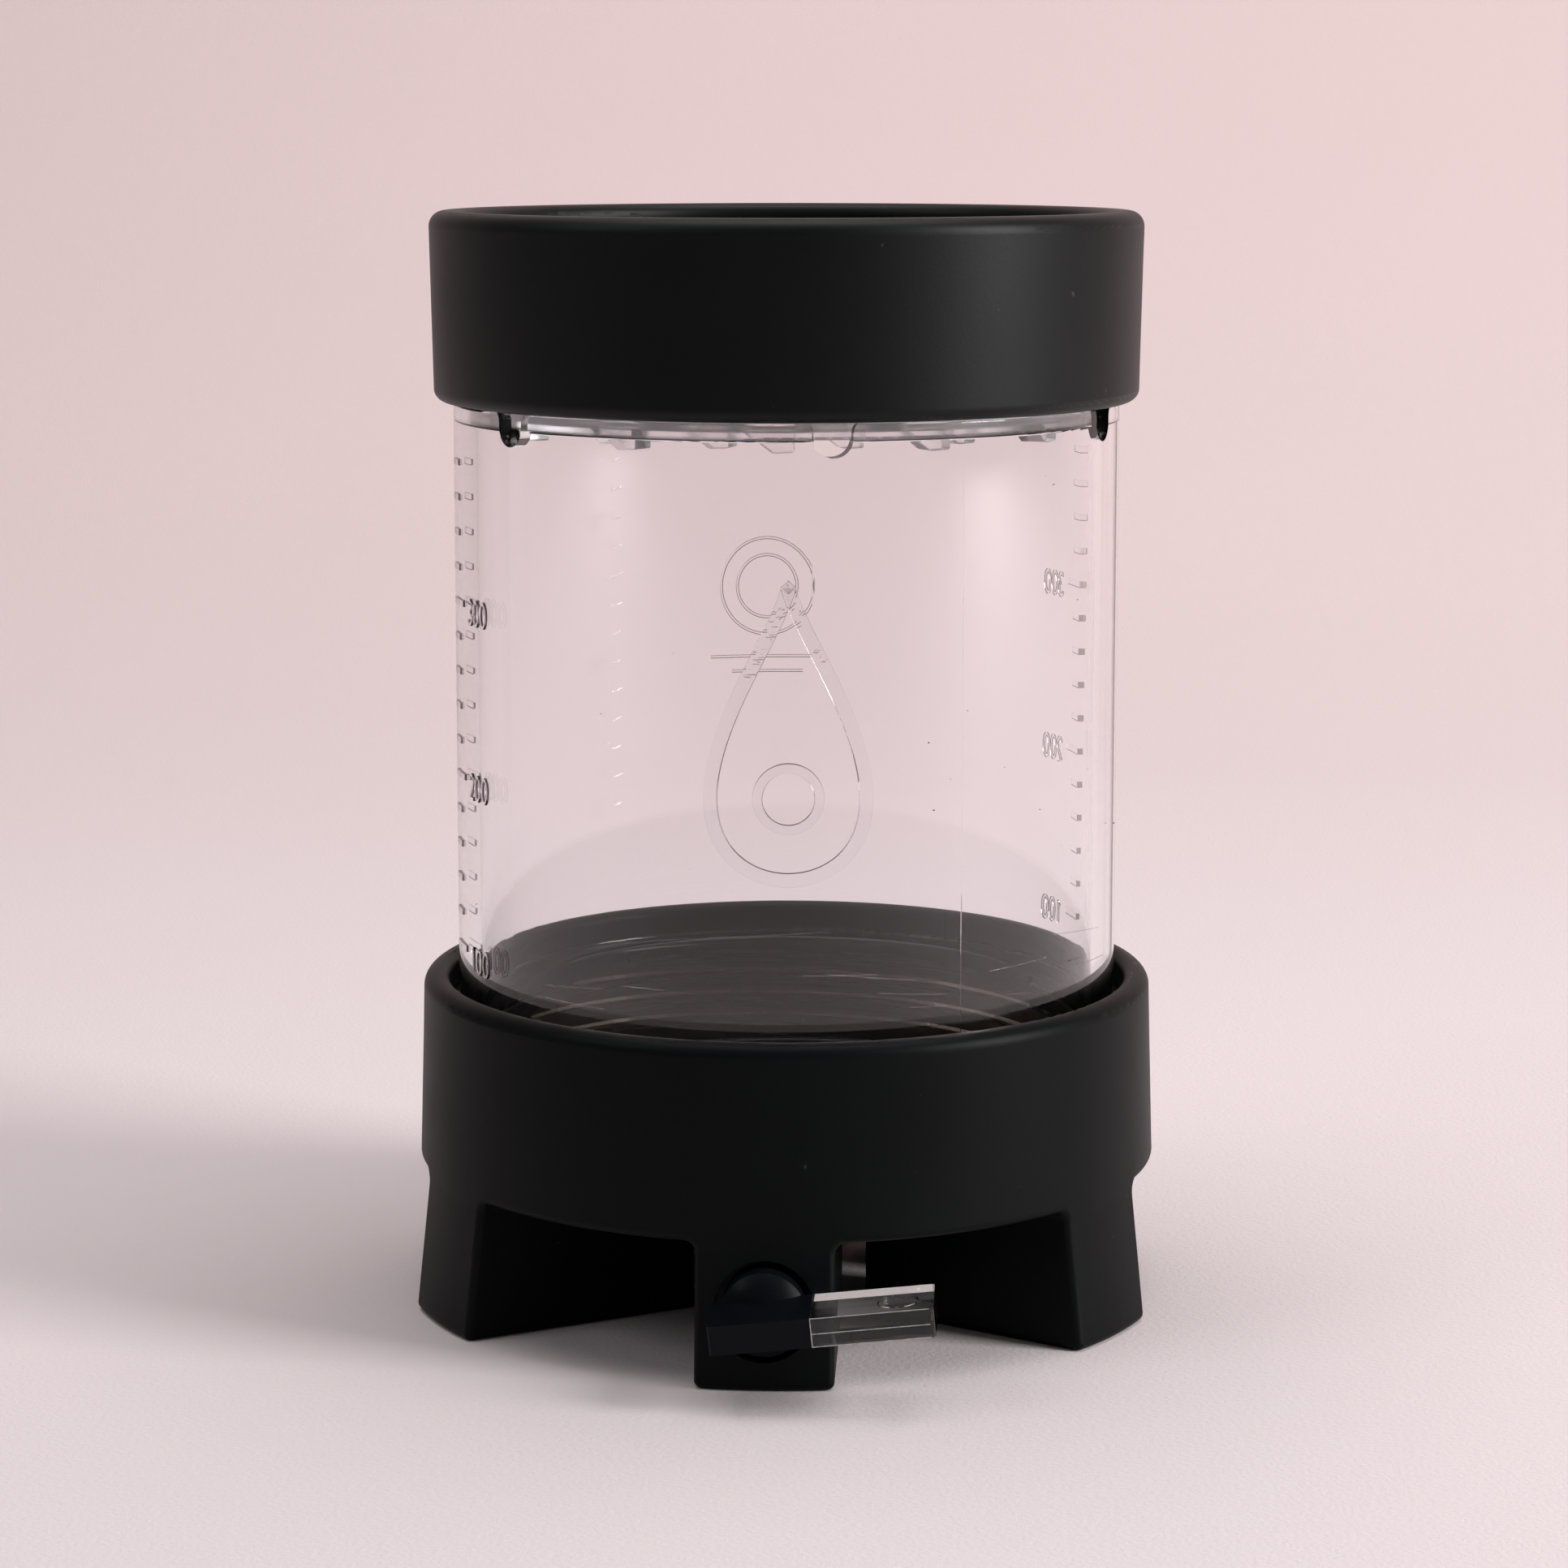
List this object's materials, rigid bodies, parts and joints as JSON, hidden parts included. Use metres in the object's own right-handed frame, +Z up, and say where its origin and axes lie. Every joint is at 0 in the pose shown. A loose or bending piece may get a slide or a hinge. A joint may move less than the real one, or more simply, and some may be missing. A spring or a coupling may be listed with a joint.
{
  "type": "pour-over brewing tank",
  "caption": "Clear graduated cylinder screwed into a black footed base with a lever drain valve, under a lift-off drip cap in a soft black sleeve.",
  "frame": {"origin": "on the cylinder's axis, in the plane under the feet", "axes": "+Z up along the cylinder's axis, -Y towards the foot that carries the valve lever"},
  "size_m": [0.0922, 0.1057, 0.1351],
  "materials": {
    "soft_black": "matt moulded silicone",
    "clear_plastic": "clear, glossy",
    "black_plastic": "satin",
    "seal_rubber": "smooth",
    "white_plastic": "smooth, waxy",
    "steel": "brushed",
    "paper": "fibrous paper"
  },
  "bodies": {
    "base": {"base_cup": "black_plastic", "base_boot": "soft_black", "outlet_tip": "seal_rubber", "valve_seat": "white_plastic", "filter_screen": "steel", "screen_rim": "steel", "filter_paper": "paper"},
    "seal": {"tank_seal": "seal_rubber"},
    "tank": {"tank_tube": "clear_plastic"},
    "cap": {"cap_sleeve": "soft_black", "cap_bowl": "clear_plastic", "drip_plate": "clear_plastic"},
    "valve": {"valve_stem": "black_plastic", "lever_hub": "black_plastic", "valve_lever": "clear_plastic", "stem_ring_front": "seal_rubber", "stem_ring_back": "seal_rubber", "stem_clip": "steel"}
  },
  "joints": [
    {"name": "tank_lift", "type": "slide", "parent": "base", "child": "seal", "axis": [0, 0, 1], "range_m": [0, 0.0116]},
    {"name": "tank_turn", "type": "hinge", "parent": "seal", "child": "tank", "pos_m": [0, 0, 0.03], "axis": [0, 0, 1], "range_deg": [0, 690]},
    {"name": "cap_lift", "type": "slide", "parent": "tank", "child": "cap", "axis": [0, 0, 1], "range_m": [0, 0.03]},
    {"name": "valve_turn", "type": "hinge", "parent": "base", "child": "valve", "pos_m": [0, -0.02, 0.0093], "axis": [0, -1, 0], "range_deg": [-6, 84]}
  ],
  "couplings": [
    {"joint": "tank_lift", "follows": "tank_turn", "m_per_rad": 0.00095493}
  ]
}
